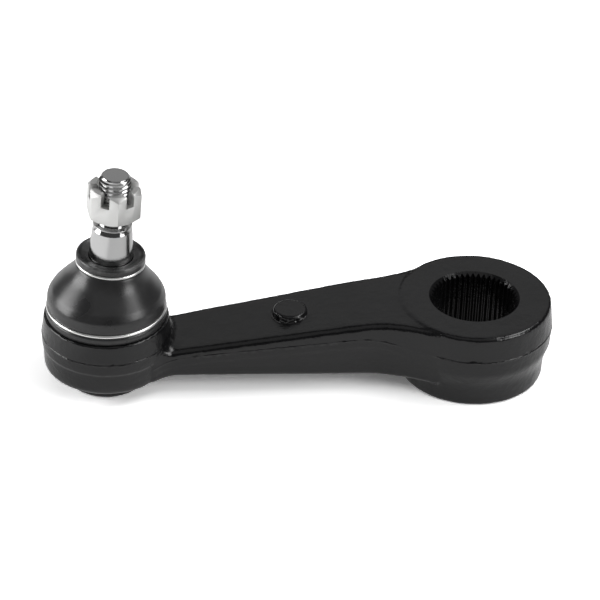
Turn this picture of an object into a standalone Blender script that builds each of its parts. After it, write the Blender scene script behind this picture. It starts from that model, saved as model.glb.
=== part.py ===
"""A pitman arm: a forged steering lever with a splined eye at one end and a ball joint at the other.

Units are metres and +Z is up. The part rests on Z = 0 as it lies on a bench: on the eye's lower face
and on the rolled lip of the ball housing. X runs along the arm, from the ball joint to the splined eye,
and X = 0 is midway along the whole part. Heights along the stud are measured from the ball's centre.
"""

import math

import bmesh
import bpy
from mathutils import Matrix, Vector

MM = 0.001

# The forging: plan
ARM_CENTRES = 165.0 * MM
EYE_RADIUS = 36.0 * MM
HOUSING_RADIUS = 28.9 * MM
ARM_HALF_WIDTH_AT_HOUSING = 15.7 * MM
ARM_HALF_WIDTH_AT_EYE = 20.9 * MM
HOUSING_FILLET = 18.0 * MM
EYE_FILLET = 55.0 * MM
BOSS_DISTANCE = 82.0 * MM
BOSS_RADIUS = 8.0 * MM

# The forging: heights
PARTING_ABOVE_BALL = 2.3 * MM
EYE_ABOVE_PARTING = 12.1 * MM
HOUSING_BELOW_PARTING = 17.0 * MM
ARM_BOTTOM_ABOVE_HOUSING_BOTTOM = 0.5 * MM
ARM_TOP_BELOW_PARTING = 2.8 * MM
ARM_TOP_SLOPE = 0.16
ARM_TOP_BELOW_EYE = 0.5 * MM
ARM_PARTING_SHARE = 0.75
ARM_START_IN_HOUSING = 0.6
EYE_ROOT_REACH = 1.4
EYE_ROOT_START = 0.6
BOSS_HEIGHT = 3.0 * MM
TOP_ROOT_FILLET = 4.5 * MM

# The forging: edges and draft
DRAFT = math.radians(5.5)
FLASH_PROUD = 0.25 * MM
HOUSING_BAND = 5.5 * MM
HOUSING_STEP = 0.5 * MM
HOUSING_STEP_HEIGHT = 1.0 * MM
EYE_BAND = 7.5 * MM
EYE_STEP = 2.4 * MM
EYE_STEP_HEIGHT = 7.5 * MM
ARM_BAND = 3.8 * MM
ARM_EDGE = 3.0 * MM
HOUSING_SHOULDER = 0.8 * MM
HOUSING_EDGE = 3.0 * MM
EYE_TOP_EDGE = 2.0 * MM
EYE_BOTTOM_EDGE = 1.5 * MM
BOSS_EDGE = 1.2 * MM

# The splined bore
SPLINE_TEETH = 48
SPLINE_ROOT_RADIUS = 19.7 * MM
SPLINE_DEPTH = 1.1 * MM
BORE_CHAMFER = 0.7 * MM

# The ball joint
GAP = 0.3 * MM
BALL_RADIUS = 14.0 * MM
BALL_CLEARANCE = 0.25 * MM
BALL_FLAT = 0.8 * MM
SEAT_WALL = 1.35 * MM
SEAT_SPLIT = 0.5 * MM
SEAT_RIM_ANGLE = math.radians(53.5)
SEAT_CONE = 3.0 * MM
GREASE_HOLE = 3.0 * MM
OPENING_LEDGE = 1.0 * MM
TOP_WALL = 2.8 * MM
NECK_WALL = 2.2 * MM
LIP_THICKNESS = 1.2 * MM
LIP_REACH = 2.4 * MM
LIP_EDGE = 2.0 * MM
COVER_THICKNESS = 2.2 * MM
COVER_DISH = 0.6 * MM
SPRING_THICKNESS = 1.2 * MM
SPRING_CONE = 1.4 * MM
SPRING_WIDTH = 8.0 * MM

# The stud, from the ball up
STUD_LEAN = math.radians(2.5)
NECK_RADIUS = 7.0 * MM
NECK_LENGTH = 6.0 * MM
NECK_FLARE = 10.0 * MM
LIP_SEAT_RADIUS = 9.2 * MM
SHANK_RADIUS = 9.45 * MM
SHANK_TAPER_LENGTH = 8.5 * MM
SHANK_TAPER = 0.08
SHANK_CHAMFER = 2.7 * MM
SHANK_CHAMFER_DEPTH = 0.35 * MM
SHANK_ABOVE_LIP = 4.4 * MM
THREAD_RADIUS = 7.0 * MM
THREAD_CHAMFER = 0.9 * MM
END_CHAMFER = 1.15 * MM
END_CHAMFER_HEIGHT = 1.5 * MM
GROOVE_DEPTH = 0.6 * MM
GROOVE_LENGTH = 1.2 * MM
THREAD_STANDOUT = 5.3 * MM
PIN_HOLE_RADIUS = 1.75 * MM

# The castle nut
NUT_ACROSS_FLATS = 22.0 * MM
NUT_HEIGHT = 14.5 * MM
NUT_STANDOFF = 4.3 * MM
NUT_CHAMFER = 1.5 * MM
NUT_TURN = math.radians(5)
SLOT_WIDTH = 4.0 * MM
SLOT_DEPTH = 6.1 * MM

# The dust boot and its two wire rings
BOOT_HEIGHT = 31.9 * MM
BOOT_RADIUS = 26.2 * MM
BOOT_WALL = 2.2 * MM
BOOT_NECK_RADIUS = 17.6 * MM
BOOT_NECK_HEIGHT = 21.8 * MM
BOOT_SHOULDER_RADIUS = 24.3 * MM
BOOT_SHOULDER_HEIGHT = 13.8 * MM
BOOT_BELLY_HEIGHT = 9.1 * MM
DISH_DEPTH = 0.9 * MM
BEAD_RADIUS = 27.4 * MM
RIM_RADIUS = 15.35 * MM
RING_WIRE = 0.65 * MM
LOWER_RING_RADIUS = 26.05 * MM
UPPER_RING_RADIUS = 14.75 * MM
LOWER_RING_HEIGHT = 4.4 * MM
UPPER_RING_BELOW_LIP = 4.4 * MM

# How finely round shapes are divided
STEPS_LARGE = 56
STEPS_SMALL = 40
STEPS_NUT = 42
ARC_STEPS = 3

# Places that follow from the sizes above
BALL_X = -(ARM_CENTRES + EYE_RADIUS - HOUSING_RADIUS) / 2
EYE_X = BALL_X + ARM_CENTRES
SEAT_BORE = BALL_RADIUS + BALL_CLEARANCE
SEAT_RADIUS = SEAT_BORE + SEAT_WALL
SOCKET_RADIUS = SEAT_RADIUS + GAP
COVER_BOTTOM = LIP_THICKNESS + GAP
SPRING_BOTTOM = COVER_BOTTOM + COVER_THICKNESS + GAP
SEAT_BOTTOM = SPRING_BOTTOM + SPRING_CONE + SPRING_THICKNESS + GAP
BALL_Z = SEAT_BOTTOM + SEAT_WALL + BALL_CLEARANCE + BALL_RADIUS
SEAT_TOP = SEAT_BORE * math.cos(SEAT_RIM_ANGLE)
HOUSING_TOP = SEAT_TOP + GAP + TOP_WALL
PARTING_HEIGHT = BALL_Z + PARTING_ABOVE_BALL
LIP_TOP = HOUSING_TOP + BOOT_HEIGHT
SHANK_WIDE_END = LIP_TOP + SHANK_ABOVE_LIP
SHANK_END = SHANK_WIDE_END + SHANK_TAPER_LENGTH
SHANK_END_RADIUS = SHANK_RADIUS - SHANK_TAPER * SHANK_TAPER_LENGTH
THREAD_START = SHANK_END + SHANK_CHAMFER
NUT_BOTTOM = THREAD_START + NUT_STANDOFF
NUT_TOP = NUT_BOTTOM + NUT_HEIGHT
STUD_END = NUT_TOP + THREAD_STANDOUT
HOUSING_BOTTOM = PARTING_HEIGHT - HOUSING_BELOW_PARTING
EYE_TOP = PARTING_HEIGHT + EYE_ABOVE_PARTING


def clear_scene():
    for obj in list(bpy.data.objects):
        bpy.data.objects.remove(obj, do_unlink=True)


def new_collection(name):
    collection = bpy.data.collections.new(name)
    bpy.context.scene.collection.children.link(collection)
    return collection


def new_material(name, color, roughness, metallic):
    material = bpy.data.materials.new(name)
    material.use_nodes = True
    shader = material.node_tree.nodes["Principled BSDF"]
    shader.inputs["Base Color"].default_value = (*color, 1.0)
    shader.inputs["Roughness"].default_value = roughness
    shader.inputs["Metallic"].default_value = metallic
    material.diffuse_color = (*color, 1.0)
    return material


def new_object(name, mesh, collection, parent=None, location=(0.0, 0.0, 0.0)):
    obj = bpy.data.objects.new(name, mesh)
    obj.location = location
    obj.parent = parent
    collection.objects.link(obj)
    return obj


def new_axis(name, collection, location, lean=0.0, turn=0.0, parent=None):
    """An empty on a joint's axis, which the pieces that turn about it are parented to."""
    axis = new_object(name, None, collection, parent, location)
    axis.rotation_euler = (0.0, lean, turn)
    return axis


def arc(centre, radius, start, end, steps=ARC_STEPS):
    """Points of a profile along an arc, from one angle to another, in degrees above the +X side."""
    angles = [math.radians(start + (end - start) * i / steps) for i in range(steps + 1)]
    return [(centre[0] + radius * math.cos(a), centre[1] + radius * math.sin(a)) for a in angles]


def smooth_curve(points, steps):
    """A curve through the points, rounded the way that a drawn spline is."""
    padded = [points[0], *points, points[-1]]
    curve = []
    for before, start, end, after in zip(padded, padded[1:], padded[2:], padded[3:]):
        for i in range(steps):
            t = i / steps
            weights = (
                -0.5 * t + t**2 - 0.5 * t**3,
                1 - 2.5 * t**2 + 1.5 * t**3,
                0.5 * t + 2 * t**2 - 1.5 * t**3,
                0.5 * (t**3 - t**2),
            )
            group = (before, start, end, after)
            curve.append(tuple(sum(w * p[k] for w, p in zip(weights, group)) for k in (0, 1)))
    return [*curve, points[-1]]


def ease(value):
    value = min(max(value, 0.0), 1.0)
    return value * value * (3 - 2 * value)


def turned(name, profile, steps, collection, parent=None, location=(0.0, 0.0, 0.0), ring=False):
    """A turned piece: a profile that runs down its outer side, swept round its own Z by a Screw."""
    count = len(profile)
    edges = [(i, i + 1) for i in range(count - 1)]
    if ring:
        edges.append((count - 1, 0))
    mesh = bpy.data.meshes.new(name)
    mesh.from_pydata([(r, 0.0, z) for r, z in profile], edges, [])
    obj = new_object(name, mesh, collection, parent, location)
    screw = obj.modifiers.new("turning", "SCREW")
    screw.steps = steps
    screw.render_steps = steps
    screw.use_merge_vertices = True
    screw.merge_threshold = 0.01 * MM
    return obj


def add_boolean(obj, other, operation):
    boolean = obj.modifiers.new(other.name, "BOOLEAN")
    boolean.object = other
    boolean.operation = operation


def as_helper(obj):
    obj.hide_render = True
    obj.display_type = "WIRE"
    return obj


def settle(obj, material):
    """Makes the piece's modifiers real, and shades it smooth up to its true edges."""
    bpy.context.view_layer.update()
    evaluated = obj.evaluated_get(bpy.context.evaluated_depsgraph_get())
    mesh = bpy.data.meshes.new_from_object(evaluated)
    mesh.name = obj.name
    mesh.materials.clear()
    mesh.materials.append(material)
    mesh.shade_smooth()
    mesh.set_sharp_from_angle(angle=math.radians(32))
    obj.modifiers.clear()
    obj.data = mesh
    return obj


def boss_side(radius, above, below, band, step, step_height):
    """The side of a round end: draft up from the parting line, then the lower die's band and its step."""
    wall = radius - FLASH_PROUD
    band_end = radius - band * math.tan(DRAFT / 2)
    under_band = band_end - step
    bottom = under_band - (below - band - step_height) * math.tan(DRAFT / 2)
    return [
        (wall - above * math.tan(DRAFT), PARTING_HEIGHT + above),
        (wall, PARTING_HEIGHT + FLASH_PROUD),
        (radius, PARTING_HEIGHT - FLASH_PROUD),
        (band_end, PARTING_HEIGHT - band),
        (under_band, PARTING_HEIGHT - band - step_height),
        (bottom, PARTING_HEIGHT - below),
    ]


def housing_blank(helpers):
    """The ball housing, hollow for the joint: open to the boot above and to the end cover below."""
    top = BALL_Z + HOUSING_TOP
    above = top - PARTING_HEIGHT - HOUSING_SHOULDER
    below = HOUSING_BELOW_PARTING - HOUSING_EDGE
    side = boss_side(
        HOUSING_RADIUS, above, below, HOUSING_BAND, HOUSING_STEP, HOUSING_STEP_HEIGHT
    )
    shoulder_centre = (side[0][0] - HOUSING_SHOULDER, top - HOUSING_SHOULDER)
    edge_centre = (side[-1][0] - HOUSING_EDGE, HOUSING_BOTTOM + HOUSING_EDGE)
    neck = SOCKET_RADIUS + NECK_WALL
    lip = SOCKET_RADIUS - LIP_REACH
    ledge = SEAT_BORE * math.sin(SEAT_RIM_ANGLE) + OPENING_LEDGE + GAP
    opening = ledge - OPENING_LEDGE / 2
    profile = [
        (opening + TOP_WALL, top),
        *arc(shoulder_centre, HOUSING_SHOULDER, 90, 0),
        *side[1:-1],
        *arc(edge_centre, HOUSING_EDGE, 0, -90),
        (neck, HOUSING_BOTTOM),
        *arc((neck - LIP_EDGE, LIP_EDGE), LIP_EDGE, 0, -90),
        (lip, 0.0),
        (lip, LIP_THICKNESS),
        (SOCKET_RADIUS, LIP_THICKNESS),
        (SOCKET_RADIUS, BALL_Z + SEAT_TOP - SEAT_CONE + GAP),
        (ledge, BALL_Z + SEAT_TOP + GAP),
        (opening, BALL_Z + SEAT_TOP + GAP),
    ]
    place = (BALL_X, 0.0, 0.0)
    return turned("housing_blank", profile, STEPS_LARGE, helpers, None, place, ring=True)


def eye_blank(helpers):
    above = EYE_ABOVE_PARTING - EYE_TOP_EDGE
    below = PARTING_HEIGHT - EYE_BOTTOM_EDGE
    side = boss_side(EYE_RADIUS, above, below, EYE_BAND, EYE_STEP, EYE_STEP_HEIGHT)
    top_centre = (side[0][0] - EYE_TOP_EDGE, EYE_TOP - EYE_TOP_EDGE)
    bottom_centre = (side[-1][0] - EYE_BOTTOM_EDGE, EYE_BOTTOM_EDGE)
    core = SPLINE_ROOT_RADIUS - 3 * SPLINE_DEPTH
    profile = [
        (core, EYE_TOP),
        *arc(top_centre, EYE_TOP_EDGE, 90, 0),
        *side[1:-1],
        *arc(bottom_centre, EYE_BOTTOM_EDGE, 0, -90),
        (core, 0.0),
    ]
    place = (EYE_X, 0.0, 0.0)
    return turned("eye_blank", profile, STEPS_LARGE, helpers, None, place, ring=True)


def arm_top(x, y=0.0):
    """Height of the arm's upper face: it climbs to the eye, and curves up into the ball housing."""
    level = ARM_TOP_SLOPE * (x - HOUSING_RADIUS) - ARM_TOP_BELOW_PARTING
    ceiling = EYE_ABOVE_PARTING - ARM_TOP_BELOW_EYE
    level = (level + ceiling - math.hypot(level - ceiling, 2 * ARM_TOP_BELOW_EYE)) / 2
    distance = max(math.hypot(x, y), HOUSING_RADIUS + FLASH_PROUD)
    reach = max(HOUSING_RADIUS + TOP_ROOT_FILLET - distance, 0.0)
    rise = TOP_ROOT_FILLET - math.sqrt(TOP_ROOT_FILLET**2 - reach**2)
    highest = BALL_Z + HOUSING_TOP - PARTING_HEIGHT - HOUSING_SHOULDER
    if reach > 0.0:
        level = min(level + rise, highest)
    return PARTING_HEIGHT + level


def root_fillet(x, half_width, radius, fillet):
    """How much wider the arm is at x, where its side curves into a round end centred on x = 0."""
    centre_y = half_width + fillet
    reach = radius + fillet
    centre_x = math.sqrt(reach**2 - centre_y**2)
    touch = centre_x * radius / reach
    into = max(centre_x - max(x, touch), 0.0)
    return fillet - math.sqrt(fillet**2 - into**2)


def arm_half_width(x):
    along = (x - HOUSING_RADIUS) / (ARM_CENTRES - EYE_RADIUS - HOUSING_RADIUS)
    along = min(max(along, 0.0), 1.0)
    taper = ARM_HALF_WIDTH_AT_EYE - ARM_HALF_WIDTH_AT_HOUSING
    at_housing = root_fillet(x, ARM_HALF_WIDTH_AT_HOUSING, HOUSING_RADIUS, HOUSING_FILLET)
    at_eye = root_fillet(ARM_CENTRES - x, ARM_HALF_WIDTH_AT_EYE, EYE_RADIUS, EYE_FILLET)
    return ARM_HALF_WIDTH_AT_HOUSING + along * taper + at_housing + at_eye


def arm_section(x):
    """Half of the arm's outline across X, from the middle of its top to the middle of its bottom."""
    bottom = HOUSING_BOTTOM + ARM_BOTTOM_ABOVE_HOUSING_BOTTOM
    width = arm_half_width(x)
    near_housing = ease((x - HOUSING_RADIUS) / TOP_ROOT_FILLET + 0.5)
    near_eye = ease((ARM_CENTRES - x) / EYE_RADIUS - EYE_ROOT_START)
    middle = bottom + ARM_PARTING_SHARE * (arm_top(x) - bottom)
    parting = PARTING_HEIGHT + near_housing * near_eye * (middle - PARTING_HEIGHT)
    edge_end = arm_top(x, width) - ARM_EDGE
    parting = min(parting, edge_end - 2 * FLASH_PROUD)
    upper_width = width - (edge_end - parting) * math.tan(DRAFT)
    lower_width = width - (parting - ARM_BAND - bottom - ARM_EDGE) * math.tan(DRAFT)
    flat = upper_width - ARM_EDGE
    outline = [(y, arm_top(x, y)) for y in (0.0, flat / 2)]
    for y, drop in arc((flat, -ARM_EDGE), ARM_EDGE, 90, 0):
        outline.append((y, arm_top(x, y) + drop))
    outline += [
        (width - FLASH_PROUD, parting + FLASH_PROUD),
        (width, parting - FLASH_PROUD),
        (width, parting - ARM_BAND),
    ]
    outline += arc((lower_width - ARM_EDGE, bottom + ARM_EDGE), ARM_EDGE, 0, -90)
    outline.append((0.0, bottom))
    return outline


def arm_blank(collection):
    """The arm between the two round ends, lofted through sections that stand across X."""
    root = HOUSING_RADIUS + TOP_ROOT_FILLET
    root_start = HOUSING_RADIUS * ARM_START_IN_HOUSING
    straight_end = ARM_CENTRES - EYE_RADIUS * EYE_ROOT_REACH
    buried_in_eye = ARM_CENTRES - EYE_RADIUS / 2
    stations = [root_start + (root - root_start) * i / 15 for i in range(16)]
    stations += [root + (straight_end - root) * i / 5 for i in range(1, 6)]
    stations += [straight_end + (buried_in_eye - straight_end) * i / 12 for i in range(1, 13)]
    bm = bmesh.new()
    loops = []
    for x in stations:
        half = arm_section(x)
        outline = half + [(-y, z) for y, z in reversed(half[1:-1])]
        ring = [bm.verts.new((BALL_X + x, y, z)) for y, z in outline]
        loops.append([bm.edges.new((ring[i - 1], vert)) for i, vert in enumerate(ring)])
        if x in (stations[0], stations[-1]):
            bm.faces.new(ring)
    for near, far in zip(loops, loops[1:]):
        bmesh.ops.bridge_loops(bm, edges=near + far)
    bmesh.ops.recalc_face_normals(bm, faces=bm.faces)
    mesh = bpy.data.meshes.new("arm_forging")
    bm.to_mesh(mesh)
    bm.free()
    return new_object("arm_forging", mesh, collection)


def boss_blank(helpers):
    top = arm_top(BOSS_DISTANCE) + BOSS_HEIGHT
    profile = [
        (0.0, top),
        *arc((BOSS_RADIUS - BOSS_EDGE, top - BOSS_EDGE), BOSS_EDGE, 90, 0),
        (BOSS_RADIUS, PARTING_HEIGHT - ARM_BAND),
        (0.0, PARTING_HEIGHT - ARM_BAND),
    ]
    place = (BALL_X + BOSS_DISTANCE, 0.0, 0.0)
    return turned("boss_blank", profile, STEPS_SMALL, helpers, location=place)


def core_cutter(name, radius, x, helpers):
    """Clears the arm out of one of its round ends, which are hollow."""
    bm = bmesh.new()
    bmesh.ops.create_cone(
        bm, cap_ends=True, segments=STEPS_SMALL, radius1=radius, radius2=radius, depth=4 * EYE_TOP
    )
    mesh = bpy.data.meshes.new(name)
    bm.to_mesh(mesh)
    bm.free()
    return new_object(name, mesh, helpers, location=(x, 0.0, 0.0))


def spline_cutter(helpers):
    """The bore: a ring of V teeth through the whole eye, opened out to a chamfer at both faces."""
    mouth = SPLINE_ROOT_RADIUS + BORE_CHAMFER
    beyond = 2 * BORE_CHAMFER
    bm = bmesh.new()
    loops = []
    for level, out in ((0.0, -1), (0.0, 0), (EYE_TOP, 0), (EYE_TOP, 1)):
        ring = []
        for i in range(2 * SPLINE_TEETH):
            angle = math.pi * i / SPLINE_TEETH
            radius = SPLINE_ROOT_RADIUS - SPLINE_DEPTH * (i % 2)
            inward = 1 if level == 0.0 else -1
            height = level + inward * (mouth - radius)
            if out:
                radius = mouth + beyond
                height = level + out * beyond
            ring.append(bm.verts.new((radius * math.cos(angle), radius * math.sin(angle), height)))
        loops.append([bm.edges.new((ring[i - 1], vert)) for i, vert in enumerate(ring)])
        if out:
            bm.faces.new(ring)
    for near, far in zip(loops, loops[1:]):
        bmesh.ops.bridge_loops(bm, edges=near + far)
    bmesh.ops.triangulate(bm, faces=bm.faces)
    bmesh.ops.recalc_face_normals(bm, faces=bm.faces)
    mesh = bpy.data.meshes.new("spline_cutter")
    bm.to_mesh(mesh)
    bm.free()
    return new_object("spline_cutter", mesh, helpers, location=(EYE_X, 0.0, 0.0))


def make_forging(parts, helpers, material):
    forging = arm_blank(parts)
    in_housing_wall = (SOCKET_RADIUS + HOUSING_RADIUS) / 2
    in_eye_wall = (SPLINE_ROOT_RADIUS + EYE_RADIUS) / 2
    cores = [
        core_cutter("housing_core", in_housing_wall, BALL_X, helpers),
        core_cutter("eye_core", in_eye_wall, EYE_X, helpers),
    ]
    for core in cores:
        add_boolean(forging, as_helper(core), "DIFFERENCE")
    for blank in (housing_blank(helpers), eye_blank(helpers), boss_blank(helpers)):
        add_boolean(forging, as_helper(blank), "UNION")
    add_boolean(forging, as_helper(spline_cutter(helpers)), "DIFFERENCE")
    return settle(forging, material)


def make_upper_seat(parts, material):
    rim = SEAT_BORE * math.sin(SEAT_RIM_ANGLE)
    rim_degrees = 90 - math.degrees(SEAT_RIM_ANGLE)
    split_degrees = math.degrees(math.asin(SEAT_SPLIT / SEAT_BORE))
    profile = [
        (rim + OPENING_LEDGE, SEAT_TOP),
        (SEAT_RADIUS, SEAT_TOP - SEAT_CONE),
        (SEAT_RADIUS, SEAT_SPLIT),
        *arc((0.0, 0.0), SEAT_BORE, split_degrees, rim_degrees, 6),
    ]
    place = (BALL_X, 0.0, BALL_Z)
    seat = turned("upper_bearing_seat", profile, STEPS_SMALL, parts, None, place, ring=True)
    return settle(seat, material)


def make_lower_seat(parts, axis, material):
    split_degrees = math.degrees(math.asin(SEAT_SPLIT / SEAT_BORE))
    hole_degrees = math.degrees(math.acos(GREASE_HOLE / SEAT_BORE))
    profile = [
        (SEAT_RADIUS, -SEAT_SPLIT),
        (SEAT_RADIUS, SEAT_BOTTOM - BALL_Z),
        (GREASE_HOLE, SEAT_BOTTOM - BALL_Z),
        *arc((0.0, 0.0), SEAT_BORE, -hole_degrees, -split_degrees, 8),
    ]
    seat = turned("lower_bearing_seat", profile, STEPS_SMALL, parts, axis, ring=True)
    return settle(seat, material)


def make_spring(parts, material):
    inner = SEAT_RADIUS - SPRING_WIDTH
    profile = [
        (SEAT_RADIUS, SPRING_THICKNESS),
        (SEAT_RADIUS, 0.0),
        (inner, SPRING_CONE),
        (inner, SPRING_CONE + SPRING_THICKNESS),
    ]
    place = (BALL_X, 0.0, SPRING_BOTTOM)
    spring = turned("preload_spring", profile, STEPS_SMALL, parts, None, place, ring=True)
    return settle(spring, material)


def make_end_cover(parts, material):
    dish_radius = SEAT_RADIUS - LIP_REACH - 2 * COVER_THICKNESS
    profile = [
        (0.0, COVER_THICKNESS),
        (SEAT_RADIUS, COVER_THICKNESS),
        (SEAT_RADIUS, 0.0),
        (dish_radius, 0.0),
        (dish_radius - COVER_DISH, COVER_DISH),
        (0.0, COVER_DISH),
    ]
    place = (BALL_X, 0.0, COVER_BOTTOM)
    return settle(turned("end_cover", profile, STEPS_SMALL, parts, None, place), material)


def stud_profile():
    ball_top = math.degrees(math.acos(NECK_RADIUS / BALL_RADIUS))
    ball_end = -math.degrees(math.asin((BALL_RADIUS - BALL_FLAT) / BALL_RADIUS))
    flare_start = BALL_RADIUS * math.sin(math.radians(ball_top)) + NECK_LENGTH
    flare = [
        (
            LIP_SEAT_RADIUS - (LIP_SEAT_RADIUS - NECK_RADIUS) * ease(i / ARC_STEPS),
            flare_start + NECK_FLARE * (1 - i / ARC_STEPS),
        )
        for i in range(ARC_STEPS + 1)
    ]
    groove = THREAD_RADIUS - GROOVE_DEPTH
    return [
        (0.0, STUD_END),
        (THREAD_RADIUS - END_CHAMFER, STUD_END),
        (THREAD_RADIUS, STUD_END - END_CHAMFER_HEIGHT),
        (THREAD_RADIUS, THREAD_START + 2 * GROOVE_LENGTH),
        (groove, THREAD_START + GROOVE_LENGTH),
        (groove, THREAD_START),
        (SHANK_END_RADIUS - SHANK_CHAMFER_DEPTH, THREAD_START),
        (SHANK_END_RADIUS, SHANK_END),
        (SHANK_RADIUS, SHANK_WIDE_END),
        (LIP_SEAT_RADIUS, LIP_TOP + GAP),
        *flare,
        *arc((0.0, 0.0), BALL_RADIUS, ball_top, ball_end, 11),
        (0.0, BALL_FLAT - BALL_RADIUS),
    ]


def pin_hole_cutter(helpers, axis):
    bm = bmesh.new()
    bmesh.ops.create_cone(
        bm,
        cap_ends=True,
        segments=16,
        radius1=PIN_HOLE_RADIUS,
        radius2=PIN_HOLE_RADIUS,
        depth=4 * THREAD_RADIUS,
    )
    across = Matrix.Rotation(NUT_TURN, 3, "Z") @ Matrix.Rotation(math.pi / 2, 3, "Y")
    bmesh.ops.rotate(bm, verts=bm.verts, matrix=across)
    mesh = bpy.data.meshes.new("pin_hole_cutter")
    bm.to_mesh(mesh)
    bm.free()
    height = NUT_TOP - SLOT_DEPTH / 2
    return new_object("pin_hole_cutter", mesh, helpers, axis, (0.0, 0.0, height))


def make_stud(parts, helpers, axis, material):
    stud = turned("ball_stud", stud_profile(), STEPS_SMALL, parts, axis)
    add_boolean(stud, as_helper(pin_hole_cutter(helpers, axis)), "DIFFERENCE")
    return settle(stud, material)


def hexagon(collection, axis):
    """A six-sided bar, longer than the nut at both ends."""
    corner = NUT_ACROSS_FLATS / 2 / math.cos(math.pi / 6)
    bm = bmesh.new()
    outline = []
    for i in range(6):
        angle = math.pi / 2 + i * math.pi / 3
        outline.append(bm.verts.new((corner * math.cos(angle), corner * math.sin(angle), -GAP)))
    grown = bmesh.ops.extrude_face_region(bm, geom=[bm.faces.new(outline)])["geom"]
    raised = [v for v in grown if isinstance(v, bmesh.types.BMVert)]
    bmesh.ops.translate(bm, verts=raised, vec=(0.0, 0.0, NUT_HEIGHT + 2 * GAP))
    bmesh.ops.recalc_face_normals(bm, faces=bm.faces)
    mesh = bpy.data.meshes.new("castle_nut")
    bm.to_mesh(mesh)
    bm.free()
    return new_object("castle_nut", mesh, collection, axis)


def nut_barrel(helpers, axis):
    """The turned shape that rounds off the corners of the hexagon and opens its bore."""
    flat = NUT_ACROSS_FLATS / 2
    corner = flat / math.cos(math.pi / 6) + GAP
    slope = (corner - flat + GAP) / NUT_CHAMFER
    face = flat - GAP
    bore = THREAD_RADIUS + GAP
    profile = [
        (face, NUT_HEIGHT),
        (face + slope * NUT_CHAMFER, NUT_HEIGHT - NUT_CHAMFER),
        (face + slope * NUT_CHAMFER, NUT_CHAMFER),
        (face, 0.0),
        (bore + THREAD_CHAMFER, 0.0),
        (bore, THREAD_CHAMFER),
        (bore, NUT_HEIGHT - THREAD_CHAMFER),
        (bore + THREAD_CHAMFER, NUT_HEIGHT),
    ]
    return turned("nut_barrel", profile, STEPS_NUT, helpers, axis, ring=True)


def slot_cutter(helpers, axis, index):
    length = 2 * NUT_ACROSS_FLATS
    depth = 2 * SLOT_DEPTH
    bm = bmesh.new()
    bmesh.ops.create_cube(bm, size=1.0)
    bmesh.ops.scale(bm, vec=(length, SLOT_WIDTH, depth), verts=bm.verts)
    turn = Matrix.Rotation(index * math.pi / 3, 3, "Z")
    bmesh.ops.rotate(bm, verts=bm.verts, matrix=turn)
    mesh = bpy.data.meshes.new(f"slot_cutter_{index + 1}")
    bm.to_mesh(mesh)
    bm.free()
    return new_object(mesh.name, mesh, helpers, axis, (0.0, 0.0, NUT_HEIGHT))


def make_nut(parts, helpers, axis, material):
    nut = hexagon(parts, axis)
    add_boolean(nut, as_helper(nut_barrel(helpers, axis)), "INTERSECT")
    for index in range(3):
        add_boolean(nut, as_helper(slot_cutter(helpers, axis, index)), "DIFFERENCE")
    return settle(nut, material)


def wire_ring(name, radius, height, parts, axis, place, material):
    bm = bmesh.new()
    section = bmesh.ops.create_circle(bm, segments=6, radius=RING_WIRE)["verts"]
    bmesh.ops.rotate(bm, verts=section, matrix=Matrix.Rotation(math.pi / 2, 3, "X"))
    bmesh.ops.translate(bm, verts=section, vec=(radius, 0.0, height))
    bmesh.ops.spin(
        bm,
        geom=bm.verts[:] + bm.edges[:],
        cent=(0.0, 0.0, 0.0),
        axis=(0.0, 0.0, 1.0),
        angle=2 * math.pi,
        steps=STEPS_SMALL,
        use_merge=True,
    )
    bmesh.ops.recalc_face_normals(bm, faces=bm.faces)
    mesh = bpy.data.meshes.new(name)
    bm.to_mesh(mesh)
    bm.free()
    return settle(new_object(name, mesh, parts, axis, place), material)


def boot_profile():
    """The boot's section, above the housing's top face: down the outside, then up the inside."""
    lip = LIP_SEAT_RADIUS + GAP
    ring_low = LOWER_RING_HEIGHT
    ring_high = BOOT_HEIGHT - UPPER_RING_BELOW_LIP
    low_groove = LOWER_RING_RADIUS - RING_WIRE - GAP
    high_groove = UPPER_RING_RADIUS - RING_WIRE - GAP
    half_groove = RING_WIRE + GAP
    waist = ring_high - half_groove
    slant = BOOT_WALL * math.sqrt(0.5)
    rim = [
        (lip, BOOT_HEIGHT - DISH_DEPTH / 2),
        (lip + slant, BOOT_HEIGHT - DISH_DEPTH),
        (RIM_RADIUS - slant, BOOT_HEIGHT - DISH_DEPTH / 2),
        (RIM_RADIUS - slant / 2, BOOT_HEIGHT),
        (RIM_RADIUS, BOOT_HEIGHT - DISH_DEPTH),
        (RIM_RADIUS, ring_high + half_groove),
        (high_groove, ring_high + half_groove),
        (high_groove, waist),
    ]
    shoulder = smooth_curve(
        [
            (RIM_RADIUS, waist - GAP),
            (BOOT_NECK_RADIUS, BOOT_NECK_HEIGHT),
            (BOOT_SHOULDER_RADIUS, BOOT_SHOULDER_HEIGHT),
            (BOOT_RADIUS, BOOT_BELLY_HEIGHT),
            (BOOT_RADIUS, ring_low + half_groove),
        ],
        3,
    )
    bead_arc = BEAD_RADIUS - LOWER_RING_RADIUS
    bead_top = ring_low - half_groove
    bead = [
        (low_groove, ring_low + half_groove),
        (low_groove, bead_top),
        *arc((BEAD_RADIUS - bead_arc, bead_top - bead_arc), bead_arc, 90, 0),
        (BEAD_RADIUS, GAP),
        (BOOT_RADIUS - 2 * BOOT_WALL, GAP),
    ]
    inside = smooth_curve(
        [
            (BOOT_RADIUS - 2 * BOOT_WALL, ring_low),
            (BOOT_RADIUS - BOOT_WALL, BOOT_BELLY_HEIGHT),
            (BOOT_SHOULDER_RADIUS - slant, BOOT_SHOULDER_HEIGHT - slant),
            (BOOT_NECK_RADIUS - slant, BOOT_NECK_HEIGHT - slant),
            (lip + slant / 2, waist),
        ],
        2,
    )
    return [*rim, *shoulder, *bead, *inside, (lip, ring_high)]


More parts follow.
